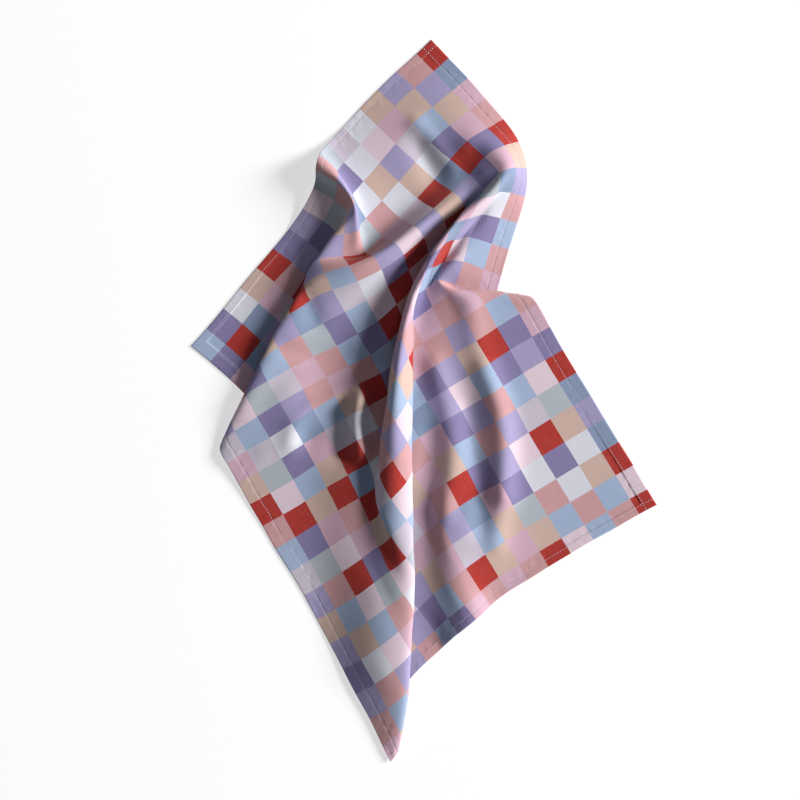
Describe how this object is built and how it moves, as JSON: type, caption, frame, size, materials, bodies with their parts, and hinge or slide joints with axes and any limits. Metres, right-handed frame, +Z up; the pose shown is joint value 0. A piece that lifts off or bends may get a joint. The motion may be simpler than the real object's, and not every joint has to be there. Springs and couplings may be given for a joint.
{
  "type": "tea towel",
  "caption": "Cotton tea towel printed with coloured squares, dropped loosely on a table and lying in soft folds.",
  "frame": {"origin": "on the table, under the middle of the towel's bounding box", "axes": "+Z up from the table, +Y from the towel's bottom corner to its top corner, the longest extent, +X to its right"},
  "size_m": [0.536, 0.834, 0.0368],
  "materials": {
    "cotton": "matte woven"
  },
  "bodies": {
    "root": {"tea_towel": "cotton"}
  },
  "joints": []
}
